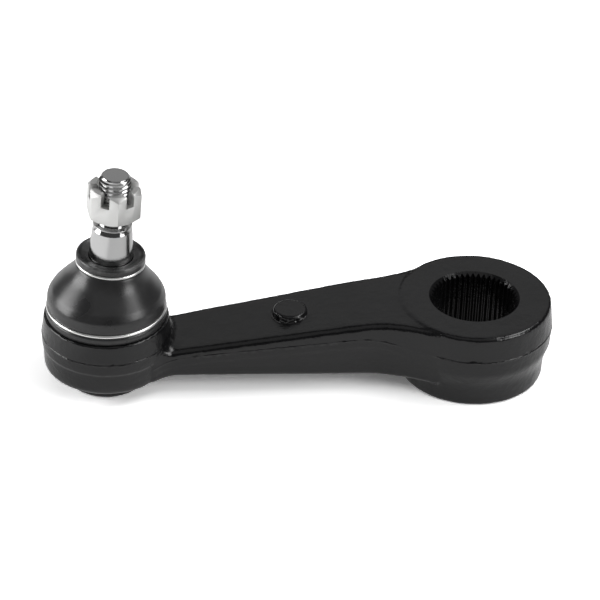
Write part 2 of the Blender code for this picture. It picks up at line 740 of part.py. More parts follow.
def make_boot(parts, axis, material):
    """The boot is turned, and then its upper part is bent over with the leaning stud."""
    profile = boot_profile()
    bm = bmesh.new()
    section = [bm.verts.new((r, 0.0, HOUSING_TOP + z)) for r, z in profile]
    for i, vert in enumerate(section):
        bm.edges.new((vert, section[(i + 1) % len(section)]))
    bmesh.ops.spin(
        bm,
        geom=bm.verts[:] + bm.edges[:],
        cent=(0.0, 0.0, 0.0),
        axis=(0.0, 0.0, 1.0),
        angle=2 * math.pi,
        steps=STEPS_SMALL,
        use_merge=True,
    )
    bend_start = HOUSING_TOP + 2 * LOWER_RING_HEIGHT
    bend_end = LIP_TOP - UPPER_RING_BELOW_LIP - 2 * RING_WIRE
    for vert in bm.verts:
        share = ease((vert.co.z - bend_start) / (bend_end - bend_start))
        vert.co = Matrix.Rotation(STUD_LEAN * share, 3, "Y") @ vert.co
    bmesh.ops.recalc_face_normals(bm, faces=bm.faces)
    mesh = bpy.data.meshes.new("dust_boot")
    bm.to_mesh(mesh)
    bm.free()
    return settle(new_object("dust_boot", mesh, parts, axis), material)


def build():
    clear_scene()
    parts = new_collection("pitman_arm")
    helpers = new_collection("cutters_and_blanks")

    black_paint = new_material("black_paint", (0.02, 0.02, 0.02), 0.28, 0.0)
    polished_steel = new_material("polished_steel", (0.62, 0.62, 0.61), 0.2, 1.0)
    plated_steel = new_material("plated_steel", (0.72, 0.72, 0.70), 0.32, 1.0)
    ring_wire = new_material("ring_wire", (0.8, 0.8, 0.8), 0.18, 1.0)
    rubber = new_material("rubber", (0.03, 0.03, 0.03), 0.55, 0.0)
    seat_resin = new_material("seat_resin", (0.75, 0.72, 0.62), 0.5, 0.0)
    spring_steel = new_material("spring_steel", (0.25, 0.25, 0.27), 0.35, 1.0)

    ball_centre = Vector((BALL_X, 0.0, BALL_Z))
    swing_axis = new_axis("swing_axis", parts, ball_centre)
    stud_axis = new_axis("stud_axis", parts, (0.0, 0.0, 0.0), lean=STUD_LEAN, parent=swing_axis)
    nut_axis = new_axis("nut_axis", parts, (0.0, 0.0, NUT_BOTTOM), turn=NUT_TURN, parent=stud_axis)

    make_forging(parts, helpers, black_paint)
    make_upper_seat(parts, seat_resin)
    make_lower_seat(parts, swing_axis, seat_resin)
    make_spring(parts, spring_steel)
    make_end_cover(parts, black_paint)
    make_stud(parts, helpers, stud_axis, polished_steel)
    make_nut(parts, helpers, nut_axis, plated_steel)
    make_boot(parts, swing_axis, rubber)
    ring_on_lip = LIP_TOP - UPPER_RING_BELOW_LIP
    housing_face = (BALL_X, 0.0, BALL_Z + HOUSING_TOP)
    wire_ring(
        "boot_lower_ring", LOWER_RING_RADIUS, LOWER_RING_HEIGHT, parts, None, housing_face, ring_wire
    )
    wire_ring(
        "boot_upper_ring", UPPER_RING_RADIUS, ring_on_lip, parts, stud_axis, (0.0, 0.0, 0.0), ring_wire
    )


build()
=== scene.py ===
import math

import bmesh
import bpy
from mathutils import Matrix, Vector, noise


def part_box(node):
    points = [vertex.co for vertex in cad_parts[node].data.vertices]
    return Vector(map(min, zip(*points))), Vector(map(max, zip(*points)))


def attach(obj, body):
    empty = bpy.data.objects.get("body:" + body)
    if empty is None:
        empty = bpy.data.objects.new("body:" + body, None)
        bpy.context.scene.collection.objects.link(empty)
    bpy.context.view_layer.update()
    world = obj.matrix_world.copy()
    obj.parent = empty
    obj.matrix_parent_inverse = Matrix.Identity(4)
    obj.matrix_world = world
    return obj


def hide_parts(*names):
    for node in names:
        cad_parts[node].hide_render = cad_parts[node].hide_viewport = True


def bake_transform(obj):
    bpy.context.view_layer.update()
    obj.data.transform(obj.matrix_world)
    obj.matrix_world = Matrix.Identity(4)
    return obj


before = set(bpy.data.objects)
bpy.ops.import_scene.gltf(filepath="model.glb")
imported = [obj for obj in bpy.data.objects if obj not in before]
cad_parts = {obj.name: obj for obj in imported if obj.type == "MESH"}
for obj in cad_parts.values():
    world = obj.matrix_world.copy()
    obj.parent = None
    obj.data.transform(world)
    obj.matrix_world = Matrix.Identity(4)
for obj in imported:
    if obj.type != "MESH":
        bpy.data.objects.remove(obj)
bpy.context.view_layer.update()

# The camera: a long lens in front of the arm, looking down on it at about 34 degrees, as in the photograph.
# It is placed by the ball joint's middle, which shows at a known pixel of the picture.
MM = 0.001
PICTURE_PIXELS = 600
SENSOR_MM = 36.0
PIXEL_AT_ARM = 0.445 * MM
LENS_PIXELS = 3386.0
LENS_MM = LENS_PIXELS / PICTURE_PIXELS * SENSOR_MM
TURN_LEFT = math.radians(7.5)
LOOK_DOWN = math.radians(33.69)
ROLL = math.radians(2.465)
JOINT_PIXEL = (106.3, 329.7)

forging_low, forging_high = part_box("arm_forging")
HOUSING_RADIUS = 28.9 * MM
BALL_X = forging_low.x + HOUSING_RADIUS
PARTING = 24.8 * MM

level_right = Vector((math.cos(TURN_LEFT), -math.sin(TURN_LEFT), 0.0))
forward = Vector(
    (
        math.sin(TURN_LEFT) * math.cos(LOOK_DOWN),
        math.cos(TURN_LEFT) * math.cos(LOOK_DOWN),
        -math.sin(LOOK_DOWN),
    )
)
level_up = level_right.cross(forward)
right = math.cos(ROLL) * level_right + math.sin(ROLL) * level_up
up = math.cos(ROLL) * level_up - math.sin(ROLL) * level_right
aim = Vector((BALL_X, 0.0, PARTING))
aim -= (JOINT_PIXEL[0] - PICTURE_PIXELS / 2) * PIXEL_AT_ARM * right
aim += (JOINT_PIXEL[1] - PICTURE_PIXELS / 2) * PIXEL_AT_ARM * up

lens = bpy.data.cameras.new("photo_camera")
lens.lens = LENS_MM
lens.sensor_width = SENSOR_MM
lens.clip_start = 0.05
lens.clip_end = 20.0
camera = bpy.data.objects.new("photo_camera", lens)
bpy.context.scene.collection.objects.link(camera)
camera.matrix_world = Matrix((right, up, -forward)).transposed().to_4x4()
camera.matrix_world.translation = aim - LENS_PIXELS * PIXEL_AT_ARM * forward
bpy.context.scene.camera = camera

# The studio: a low and a high soft box at the right, a large one at the left and two dim panels, above and
# behind, round a white table whose edge never shows. The table looks white to the camera and keeps the soft
# shadow under the arm, and the part's shiny sides mirror it brighter at the left.
WHITE = (1.0, 1.0, 1.0, 1.0)
WORLD_GREY = 0.07
TABLE_HALF_WIDTH = 4.0
TABLE_GREY = 0.8
TABLE_SEEN = 2.15
TABLE_LIFT = 0.1
TABLE_LIFT_IN_MIRRORS = {"From Min": -0.19, "From Max": -0.14, "To Min": 0.6, "To Max": 0.26}


def add_node(tree, kind, inputs=(), **settings):
    """A new shader node, with values for its inputs and its other settings."""
    made = tree.nodes.new(kind)
    for key, value in settings.items():
        setattr(made, key, value)
    for key, value in dict(inputs).items():
        made.inputs[key].default_value = value
    return made


def soft_box(name, bearing, height, distance, size, brightness):
    """A lamp that faces the arm from a bearing (0 is in front, 90 at the right) and a height, in degrees.
    Its distance and its size, across and up, are in metres."""
    bearing, height = math.radians(bearing), math.radians(height)
    away = Vector(
        (
            math.sin(bearing) * math.cos(height),
            -math.cos(bearing) * math.cos(height),
            math.sin(height),
        )
    )
    light = bpy.data.lights.new(name, "AREA")
    light.shape = "RECTANGLE"
    light.size, light.size_y = size
    light.energy = brightness * math.pi * size[0] * size[1]
    box = bpy.data.objects.new(name, light)
    bpy.context.scene.collection.objects.link(box)
    box.location = away * distance
    box.rotation_euler = (-away).to_track_quat("-Z", "Y").to_euler()


soft_box("right_strip_box", 55, 27, 1.4, (0.6, 0.6), 6.0)
soft_box("right_soft_box", 96, 56, 1.4, (0.8, 0.45), 5.4)
soft_box("ceiling_panel", 0, 67, 2.2, (2.4, 2.0), 0.32)
soft_box("left_soft_box", -95, 20, 1.4, (0.85, 0.65), 7.6)
soft_box("back_panel", 174, 42, 2.0, (2.4, 1.4), 0.35)

world = bpy.data.worlds.new("white_room")
bpy.context.scene.world = world
world.use_nodes = True
tree = world.node_tree
tree.nodes.clear()
seen = add_node(tree, "ShaderNodeLightPath")
room = add_node(tree, "ShaderNodeBackground", {"Color": (WORLD_GREY,) * 3 + (1.0,)})
white = add_node(tree, "ShaderNodeBackground", {"Color": WHITE})
chosen = add_node(tree, "ShaderNodeMixShader")
surroundings = add_node(tree, "ShaderNodeOutputWorld")
tree.links.new(seen.outputs["Is Camera Ray"], chosen.inputs[0])
tree.links.new(room.outputs[0], chosen.inputs[1])
tree.links.new(white.outputs[0], chosen.inputs[2])
tree.links.new(chosen.outputs[0], surroundings.inputs["Surface"])

bm = bmesh.new()
bmesh.ops.create_grid(bm, x_segments=1, y_segments=1, size=TABLE_HALF_WIDTH)
table_mesh = bpy.data.meshes.new("table")
bm.to_mesh(table_mesh)
bm.free()
table = bpy.data.objects.new("table", table_mesh)
bpy.context.scene.collection.objects.link(table)


def new_finish(name):
    """A material with an empty node tree, and the tree."""
    made = bpy.data.materials.new(name)
    made.use_nodes = True
    made.node_tree.nodes.clear()
    return made, made.node_tree


def coat(obj, finish):
    """Makes the finish a piece's only material."""
    obj.data.materials.clear()
    obj.data.materials.append(finish)


table_white, tree = new_finish("table_white")
seen = add_node(tree, "ShaderNodeLightPath")
paper = add_node(tree, "ShaderNodeBsdfDiffuse")
tone = add_node(tree, "ShaderNodeMix", {"A": TABLE_GREY, "B": TABLE_SEEN})
lift = add_node(tree, "ShaderNodeEmission", {"Color": WHITE})
where = add_node(tree, "ShaderNodeTexCoord")
along = add_node(tree, "ShaderNodeSeparateXYZ")
sideways = add_node(tree, "ShaderNodeMapRange", TABLE_LIFT_IN_MIRRORS)
mirrored = add_node(tree, "ShaderNodeMath", operation="MULTIPLY")
strength = add_node(tree, "ShaderNodeMix", {"B": TABLE_LIFT})
both = add_node(tree, "ShaderNodeAddShader")
surface = add_node(tree, "ShaderNodeOutputMaterial")
tree.links.new(seen.outputs["Is Camera Ray"], tone.inputs["Factor"])
tree.links.new(tone.outputs["Result"], paper.inputs["Color"])
tree.links.new(where.outputs["Object"], along.inputs["Vector"])
tree.links.new(along.outputs["X"], sideways.inputs["Value"])
tree.links.new(seen.outputs["Is Glossy Ray"], mirrored.inputs[0])
tree.links.new(sideways.outputs["Result"], mirrored.inputs[1])
tree.links.new(seen.outputs["Is Camera Ray"], strength.inputs["Factor"])
tree.links.new(mirrored.outputs[0], strength.inputs["A"])
tree.links.new(strength.outputs["Result"], lift.inputs["Strength"])
tree.links.new(paper.outputs[0], both.inputs[0])
tree.links.new(lift.outputs[0], both.inputs[1])
tree.links.new(both.outputs[0], surface.inputs["Surface"])
coat(table, table_white)

# The forging: one drop-forged piece of steel, with the ball housing, the arm, a small round boss and the
# splined eye. Its edges are rolled over, a rough line of trimmed flash runs round it where the dies met,
# and it is painted gloss black. The bore is broached after forging.
EYE_RADIUS = 36.0 * MM
EYE_X = forging_high.x - EYE_RADIUS
ARM_CENTRES = EYE_X - BALL_X
ARM_HALF_WIDTH_AT_HOUSING = 15.7 * MM
ARM_HALF_WIDTH_AT_EYE = 20.9 * MM
HOUSING_FILLET = 18.0 * MM
EYE_FILLET = 55.0 * MM
BOSS_X = BALL_X + 82.0 * MM
BOSS_RADIUS = 8.0 * MM
BOSS_HEIGHT = 3.0 * MM
EYE_TOP = forging_high.z
HOUSING_TOP = 34.076 * MM
HOUSING_SHOULDER = 0.8 * MM
HOUSING_BOTTOM = 7.8 * MM
ARM_BOTTOM = 8.3 * MM
ARM_TOP_BELOW_PARTING = 2.8 * MM
ARM_TOP_SLOPE = 0.16
ARM_TOP_BELOW_EYE = 0.5 * MM
ARM_PARTING_SHARE = 0.75
ROOT_FILLET = 4.5 * MM
DRAFT = math.radians(5.5)
FLASH = 0.25 * MM
FLASH_FOOT = 1.6 * FLASH
ARM_BAND = 3.8 * MM
ARM_EDGE = 3.0 * MM
ARM_EDGE_STEPS = 6
ARM_TOP_STEPS = 8
SOCKET_RADIUS = 15.9 * MM
SPLINE_TEETH = 48
SPLINE_ROOT = 19.7 * MM
SPLINE_DEPTH = 1.1 * MM
BORE_CHAMFER = 0.7 * MM


def ease(value):
    """Rises from 0 to 1 with a soft start and a soft end."""
    value = min(max(value, 0.0), 1.0)
    return value * value * (3 - 2 * value)


def spin_round(bm, steps):
    """Spins what a bmesh holds through a full turn about Z, closed and with its faces outwards."""
    bmesh.ops.spin(
        bm,
        geom=bm.verts[:] + bm.edges[:],
        cent=(0.0, 0.0, 0.0),
        axis=(0.0, 0.0, 1.0),
        angle=2 * math.pi,
        steps=steps,
        use_merge=True,
    )
    bmesh.ops.remove_doubles(bm, verts=bm.verts, dist=0.001 * MM)
    bmesh.ops.recalc_face_normals(bm, faces=bm.faces)


def turned(corners, steps, closed=True, row=None):
    """Spins a section about Z. Its corners are (radius, height, rounding), in millimetres, and a row
    cuts its long sides into lengths of about that size, so that the skin can be shaped later."""
    bm = bmesh.new()
    verts = [bm.verts.new((r * MM, 0.0, z * MM)) for r, z, _ in corners]
    for vert, after in zip(verts, verts[1:]):
        bm.edges.new((vert, after))
    if closed:
        bm.edges.new((verts[-1], verts[0]))
    for vert, (_, _, rounding) in zip(verts, corners):
        if rounding:
            bmesh.ops.bevel(
                bm,
                geom=[vert],
                offset=rounding * MM,
                offset_type="OFFSET",
                affect="VERTICES",
                segments=4,
                profile=0.5,
                material=-1,
            )
    if row:
        for edge in list(bm.edges):
            cuts = int(edge.calc_length() / row)
            if cuts:
                bmesh.ops.subdivide_edges(bm, edges=[edge], cuts=cuts)
    spin_round(bm, steps)
    return bm


def as_object(name, bm, place=(0.0, 0.0, 0.0)):
    """Makes a finished shape an object that sits at the origin, with its place in its mesh."""
    bmesh.ops.translate(bm, verts=bm.verts, vec=place)
    mesh = bpy.data.meshes.new(name)
    bm.to_mesh(mesh)
    bm.free()
    made = bpy.data.objects.new(name, mesh)
    bpy.context.scene.collection.objects.link(made)
    return made


def bake(obj):
    """Makes what an object's modifiers show its own mesh."""
    bpy.context.view_layer.update()
    evaluated = obj.evaluated_get(bpy.context.evaluated_depsgraph_get())
    mesh = bpy.data.meshes.new_from_object(evaluated)
    obj.modifiers.clear()
    obj.data = mesh
    mesh.name = obj.name


def combine(obj, tools):
    """Adds the tools to an object or cuts them out of it. Each is given as (tool, operation)."""
    for tool, operation in tools:
        change = obj.modifiers.new(tool.name, "BOOLEAN")
        change.object = tool
        change.operation = operation
    bake(obj)
    for tool, _ in tools:
        bpy.data.objects.remove(tool)


def smooth_shaded(obj, sharp_from):
    """Shades a piece smooth, apart from edges that turn by more than an angle in degrees."""
    obj.data.shade_smooth()
    obj.data.set_sharp_from_angle(angle=math.radians(sharp_from))
    return obj


def arm_top(x, y=0.0):
    """Height of the arm's top at x from the ball: it climbs to the eye and turns up at the housing."""
    level = ARM_TOP_SLOPE * (x - HOUSING_RADIUS) - ARM_TOP_BELOW_PARTING
    ceiling = EYE_TOP - PARTING - ARM_TOP_BELOW_EYE
    level = (level + ceiling - math.hypot(level - ceiling, 2 * ARM_TOP_BELOW_EYE)) / 2
    distance = max(math.hypot(x, y), HOUSING_RADIUS + FLASH)
    reach = max(HOUSING_RADIUS + ROOT_FILLET - distance, 0.0)
    rise = ROOT_FILLET - math.sqrt(ROOT_FILLET**2 - reach**2)
    highest = HOUSING_TOP - HOUSING_SHOULDER - PARTING
    if reach > 0.0:
        level = min(level + rise, highest)
    return PARTING + level


def root_fillet(x, half_width, radius, fillet):
    """How much a fillet widens the arm's side at x, where it runs into a round end of that radius."""
    centre_y = half_width + fillet
    reach = radius + fillet
    centre_x = math.sqrt(reach**2 - centre_y**2)
    touch = centre_x * radius / reach
    into = max(centre_x - max(x, touch), 0.0)
    return fillet - math.sqrt(fillet**2 - into**2)


def arm_half_width(x):
    """Half of the arm's width at its flash line, with the fillets at both ends."""
    along = (x - HOUSING_RADIUS) / (ARM_CENTRES - EYE_RADIUS - HOUSING_RADIUS)
    along = min(max(along, 0.0), 1.0)
    straight = ARM_HALF_WIDTH_AT_HOUSING
    straight += along * (ARM_HALF_WIDTH_AT_EYE - ARM_HALF_WIDTH_AT_HOUSING)
    at_housing = root_fillet(x, ARM_HALF_WIDTH_AT_HOUSING, HOUSING_RADIUS, HOUSING_FILLET)
    at_eye = root_fillet(ARM_CENTRES - x, ARM_HALF_WIDTH_AT_EYE, EYE_RADIUS, EYE_FILLET)
    return straight + at_housing + at_eye


def arm_section(x):
    """Half of the arm's outline, from the middle of its top round to the middle of its underside."""
    width = arm_half_width(x)
    near_housing = ease((x - HOUSING_RADIUS) / ROOT_FILLET + 0.5)
    near_eye = ease((ARM_CENTRES - x) / EYE_RADIUS - 0.6)
    middle = ARM_BOTTOM + ARM_PARTING_SHARE * (arm_top(x) - ARM_BOTTOM)
    parting = PARTING + near_housing * near_eye * (middle - PARTING)
    edge_end = arm_top(x, width) - ARM_EDGE
    parting = min(parting, arm_top(x, 1.0) - ARM_EDGE - 4 * FLASH)
    upper = width - (edge_end - parting) * math.tan(DRAFT)
    lower = width - (parting - ARM_BAND - ARM_BOTTOM - ARM_EDGE) * math.tan(DRAFT)
    flat = upper - ARM_EDGE
    across_top = [flat * i / ARM_TOP_STEPS for i in range(ARM_TOP_STEPS)]
    outline = [(y, arm_top(x, y)) for y in across_top]
    for i in range(ARM_EDGE_STEPS + 1):
        angle = math.pi / 2 * (1 - i / ARM_EDGE_STEPS)
        y = flat + ARM_EDGE * math.cos(angle)
        outline.append((y, arm_top(x, y) - ARM_EDGE + ARM_EDGE * math.sin(angle)))
    for i in range(1, 4):
        share = i / 4
        y = upper + share * (width - FLASH - upper)
        outline.append((y, edge_end + share * (parting + FLASH_FOOT - edge_end)))
    outline += [
        (width - FLASH, parting + FLASH_FOOT),
        (width - FLASH * 0.3, parting + FLASH),
        (width, parting),
        (width - FLASH * 0.3, parting - FLASH),
        (width - FLASH, parting - FLASH_FOOT),
        (width - FLASH, parting - ARM_BAND / 2),
        (width - FLASH * 0.8, parting - ARM_BAND + 0.4 * MM),
        (width - FLASH * 1.4, parting - ARM_BAND),
    ]
    start = parting - ARM_BAND
    end = ARM_BOTTOM + ARM_EDGE
    for i in range(1, 5):
        share = i / 5
        outline.append((width - FLASH * 1.4 + share * (lower - width), start + share * (end - start)))
    for i in range(ARM_EDGE_STEPS + 1):
        angle = math.pi / 2 * i / ARM_EDGE_STEPS
        outline.append(
            (lower - ARM_EDGE + ARM_EDGE * math.cos(angle), end - ARM_EDGE * math.sin(angle))
        )
    outline += [((lower - ARM_EDGE) * (1 - i / 6), ARM_BOTTOM) for i in range(1, 7)]
    return outline


# The arm is lofted through sections that stand close together, from inside the housing to inside the eye.
STATION_ROW = 1.4 * MM
LOFT_START = HOUSING_RADIUS * 0.6
LOFT_END = ARM_CENTRES - EYE_RADIUS / 2
station_count = round((LOFT_END - LOFT_START) / STATION_ROW)
bm = bmesh.new()
loops = []
for i in range(station_count + 1):
    x = LOFT_START + (LOFT_END - LOFT_START) * i / station_count
    half = arm_section(x)
    ring = [bm.verts.new((BALL_X + x, y, z)) for y, z in half]
    ring += [bm.verts.new((BALL_X + x, -y, z)) for y, z in reversed(half[1:-1])]
    loops.append([bm.edges.new((ring[k - 1], vert)) for k, vert in enumerate(ring)])
    if i in (0, station_count):
        bm.faces.new(ring)
for near, far in zip(loops, loops[1:]):
    bmesh.ops.bridge_loops(bm, edges=near + far)
bmesh.ops.recalc_face_normals(bm, faces=bm.faces)
forging = as_object("painted_forging", bm)

# The round ends and the boss are turned shapes, set into the arm. Their sections are in millimetres.
flash = FLASH / MM
parting = PARTING / MM
housing_radius = HOUSING_RADIUS / MM
housing_top = HOUSING_TOP / MM
housing_bottom = HOUSING_BOTTOM / MM
wall = housing_radius - flash
draft = math.tan(DRAFT)
socket = SOCKET_RADIUS / MM
lip = socket + 2.2
band_low = parting - 6.2


def flash_line(radius):
    """The corners of the trimmed flash round a turned end of that radius."""
    return [
        (radius - flash, parting + 1.6 * flash, 0.1),
        (radius, parting + 0.4 * flash, 0.15),
        (radius, parting - 0.4 * flash, 0.15),
        (radius - flash, parting - 1.6 * flash, 0.1),
    ]


housing = turned(
    [
        (14.9, housing_top, 0.3),
        (wall - (housing_top - parting) * draft, housing_top, HOUSING_SHOULDER / MM),
        *flash_line(housing_radius),
        (wall - 0.1, parting - 5.0, 0.4),
        (wall - 0.6, band_low, 0.4),
        (wall - 0.6 - (band_low - housing_bottom) * draft / 2, housing_bottom, 3.0),
        (lip, housing_bottom, 0.4),
        (lip, 0.0, 1.9),
        (13.5, 0.0, 0.4),
        (13.5, 1.2, 0.3),
        (socket, 1.2, 0.0),
        (socket, 28.2, 0.0),
        (12.7, 31.2, 0.0),
        (12.3, 31.2, 0.0),
    ],
    steps=176,
    row=1.3 * MM,
)
eye_radius = EYE_RADIUS / MM
eye_top = EYE_TOP / MM
wall = eye_radius - flash
core = (SPLINE_ROOT - 3 * SPLINE_DEPTH) / MM
eye = turned(
    [
        (core, eye_top, 0.0),
        (wall - (eye_top - parting) * draft, eye_top, 1.7),
        *flash_line(eye_radius),
        (wall - 0.3, parting - 7.5, 1.2),
        (wall - 2.7, parting - 15.0, 2.0),
        (wall - 3.1, 0.0, 1.5),
        (core, 0.0, 0.0),
    ],
    steps=216,
    row=1.4 * MM,
)
boss_top = (arm_top(BOSS_X - BALL_X) + BOSS_HEIGHT) / MM
boss_foot = parting - 3.0
boss = turned(
    [(0.0, boss_top, 0.0), (7.6, boss_top, 1.3), (8.1, boss_foot, 0.0), (0.0, boss_foot, 0.0)],
    steps=96,
    closed=False,
    row=1.0 * MM,
)

HOUSING_CORE_RADIUS = 22 * MM
EYE_CORE_RADIUS = 27 * MM
PLUG_LOW = -50 * MM
PLUG_HIGH = 90 * MM


def plug(name, radius, x):
    """A tall plug that clears the arm's end out of a round end, inside its wall."""
    bm = bmesh.new()
    bmesh.ops.create_cone(
        bm, cap_ends=True, segments=96, radius1=radius, radius2=radius, depth=PLUG_HIGH - PLUG_LOW
    )
    return as_object(name, bm, (x, 0.0, (PLUG_LOW + PLUG_HIGH) / 2))


tools = [
    (plug("housing_core", HOUSING_CORE_RADIUS, BALL_X), "DIFFERENCE"),
    (plug("eye_core", EYE_CORE_RADIUS, EYE_X), "DIFFERENCE"),
    (as_object("housing", housing, (BALL_X, 0.0, 0.0)), "UNION"),
    (as_object("eye", eye, (EYE_X, 0.0, 0.0)), "UNION"),
    (as_object("boss", boss, (BOSS_X, 0.0, 0.0)), "UNION"),
]
combine(forging, tools)

# The broach leaves a ring of V teeth, and both mouths of the bore are chamfered. Six points go round each
# tooth, given by how far they stand in from the root.
TOOTH_POINTS = (0.0, 0.0, 0.5, 1.0, 1.0, 0.5)
bm = bmesh.new()
mouth = SPLINE_ROOT + BORE_CHAMFER
beyond = 2 * BORE_CHAMFER
loops = []
for level, out in ((0.0, -1), (0.0, 0), (EYE_TOP, 0), (EYE_TOP, 1)):
    points = len(TOOTH_POINTS) * SPLINE_TEETH
    ring = bmesh.ops.create_circle(bm, segments=points, radius=1.0)["verts"]
    inward = 1 if level == 0.0 else -1
    for i, vert in enumerate(ring):
        radius = SPLINE_ROOT - TOOTH_POINTS[i % len(TOOTH_POINTS)] * SPLINE_DEPTH
        height = level + inward * (mouth - radius)
        if out:
            radius = mouth + beyond
            height = level + out * beyond
        vert.co = (vert.co.x * radius, vert.co.y * radius, height)
    loops.append(list(dict.fromkeys(edge for vert in ring for edge in vert.link_edges)))
    if out:
        bmesh.ops.contextual_create(bm, geom=loops[-1])
for near, far in zip(loops, loops[1:]):
    bmesh.ops.bridge_loops(bm, edges=near + far)
bmesh.ops.triangulate(bm, faces=bm.faces)
bmesh.ops.recalc_face_normals(bm, faces=bm.faces)
combine(forging, [(as_object("broach", bm, (EYE_X, 0.0, 0.0)), "DIFFERENCE")])

# Where the arm runs into its round ends and the boss, the forging has a soft root instead of a corner. It is
# softer towards the eye than close to the housing.
ROOT_ANGLE = math.radians(14)
ROOT_ZONE_AT_HOUSING = 4 * MM
ROOT_ZONE_AT_EYE = 5 * MM
ROOT_ZONE_AT_BOSS = 2 * MM
ARM_SIDE_OF_HOUSING = BALL_X + 15 * MM
ARM_SIDE_OF_EYE = EYE_X - 12 * MM
SOFTER_FROM = BALL_X + HOUSING_RADIUS + 6 * MM
ROOT_PASSES = 2
SOFTER_PASSES = 6
bm = bmesh.new()
bm.from_mesh(forging.data)
bmesh.ops.triangulate(bm, faces=[f for f in bm.faces if len(f.verts) > 4])
bmesh.ops.recalc_face_normals(bm, faces=bm.faces)


def off_axis(point, x):
    """Level distance from the upright axis of the housing, the eye or the boss."""
    return math.hypot(point.x - x, point.y)


def near_a_root(point):
    """Whether a point lies where the arm meets the housing, the eye or the boss."""
    at_housing = abs(off_axis(point, BALL_X) - HOUSING_RADIUS) < ROOT_ZONE_AT_HOUSING
    at_eye = abs(off_axis(point, EYE_X) - EYE_RADIUS) < ROOT_ZONE_AT_EYE
    at_boss = abs(off_axis(point, BOSS_X) - BOSS_RADIUS) < ROOT_ZONE_AT_BOSS
    return (
        (at_housing and point.x > ARM_SIDE_OF_HOUSING)
        or (at_eye and point.x < ARM_SIDE_OF_EYE)
        or (at_boss and point.z > PARTING - ROOT_ZONE_AT_BOSS)
    )


seam = set()
for edge in bm.edges:
    if len(edge.link_faces) == 2 and edge.calc_face_angle_signed(0.0) < -ROOT_ANGLE:
        if all(near_a_root(vert.co) for vert in edge.verts):
            seam.update(edge.verts)
for _ in range(2):
    seam.update({e.other_vert(v) for v in list(seam) for e in v.link_edges})
softer = {vert for vert in seam if vert.co.x > SOFTER_FROM}
for verts in [seam] * ROOT_PASSES + [softer] * SOFTER_PASSES:
    bmesh.ops.smooth_vert(
        bm, verts=list(verts), factor=0.5, use_axis_x=True, use_axis_y=True, use_axis_z=True
    )

# The forged skin isn't flat: it has shallow waves, deeper on its slopes, and a ragged edge along the flash
# line and round the housing's rim. Waves and notches are counted per metre.
WAVE = 0.10 * MM
LONG_WAVES = 160
SHORT_WAVES = 420
SLOPE_WAVES = 560
RAGGED = 0.3 * MM
NOTCHES_IN = 700
NOTCHES_UP = 600
OTHER_NOISE = Vector((9.0, 9.0, 9.0))
RIM_WIDTH = 2.4 * MM


def on_a_rough_edge(point):
    """Whether a point lies on the crest of the flash line or on the housing's upper rim."""
    near = 0.4 * FLASH
    to_housing = off_axis(point, BALL_X)
    to_eye = off_axis(point, EYE_X)
    if abs(point.z - HOUSING_TOP) < 1.5 * HOUSING_SHOULDER and to_housing < HOUSING_RADIUS:
        return to_housing > HOUSING_RADIUS - RIM_WIDTH
    if abs(point.z - PARTING) < 2 * near and (
        to_housing > HOUSING_RADIUS - near or to_eye > EYE_RADIUS - near
    ):
        return min(to_housing - HOUSING_RADIUS, to_eye - EYE_RADIUS) < near
    along_arm = BALL_X + HOUSING_RADIUS + 2 * FLASH < point.x < EYE_X - EYE_RADIUS - 2 * FLASH
    return along_arm and abs(point.y) > arm_half_width(point.x - BALL_X) - near


bm.normal_update()
moves = []
for vert in bm.verts:
    point = vert.co
    in_bore = off_axis(point, EYE_X) < SPLINE_ROOT + 1.5 * MM
    in_socket = off_axis(point, BALL_X) < SOCKET_RADIUS + 1 * MM
    on_the_foot = point.z < 0.3 * MM
    on_a_slope = 0.15 < vert.normal.z < 0.9
    if in_bore or in_socket or on_the_foot:
        continue
    waves = WAVE * noise.noise(point * LONG_WAVES) + 0.5 * WAVE * noise.noise(point * SHORT_WAVES)
    if on_a_slope:
        waves += 1.2 * WAVE * noise.noise(point * SLOPE_WAVES)
    move = vert.normal * waves
    if on_a_rough_edge(point):
        inward = Vector((-vert.normal.x, -vert.normal.y, 0.0))
        move = inward * RAGGED * abs(noise.noise(point * NOTCHES_IN))
        move.z = RAGGED * noise.noise(point * NOTCHES_UP + OTHER_NOISE)
    moves.append((vert, move))
for vert, move in moves:
    vert.co += move
bm.to_mesh(forging.data)
bm.free()
smooth_shaded(forging, 40)

# The paint: gloss black, a little cloudy, over the fine grain and shallow pits of the forged skin.
PAINT_DARK = (0.004, 0.004, 0.0045, 1.0)
PAINT_LIGHT = (0.007, 0.007, 0.0075, 1.0)


def tone_ramp(tree, *stops):
    """A colour ramp with a (position, colour) for each stop, from low to high."""
    ramp = add_node(tree, "ShaderNodeValToRGB")
    elements = ramp.color_ramp.elements
    for i, (position, colour) in enumerate(stops):
        element = elements[i] if i < len(elements) else elements.new(position)
        element.position = position
        element.color = colour
    return ramp


black_paint, tree = new_finish("gloss_black_paint")
where = add_node(tree, "ShaderNodeTexCoord")
cloudy = add_node(tree, "ShaderNodeTexNoise", {"Scale": 60.0, "Detail": 3.0})
tone = tone_ramp(tree, (0.3, PAINT_DARK), (0.7, PAINT_LIGHT))
gloss = add_node(tree, "ShaderNodeMapRange", {"To Min": 0.1, "To Max": 0.2})
skin = add_node(tree, "ShaderNodeTexNoise", {"Scale": 700.0, "Detail": 4.0, "Roughness": 0.6})
pits = add_node(tree, "ShaderNodeTexVoronoi", {"Scale": 260.0})
mixed = add_node(tree, "ShaderNodeMath", {1: 0.6}, operation="MULTIPLY_ADD")
bump = add_node(tree, "ShaderNodeBump", {"Strength": 1.0, "Distance": 0.14 * MM})
paint = add_node(tree, "ShaderNodeBsdfPrincipled", {"IOR": 1.46})
surface = add_node(tree, "ShaderNodeOutputMaterial")
for texture in (cloudy, skin, pits):
    tree.links.new(where.outputs["Object"], texture.inputs["Vector"])
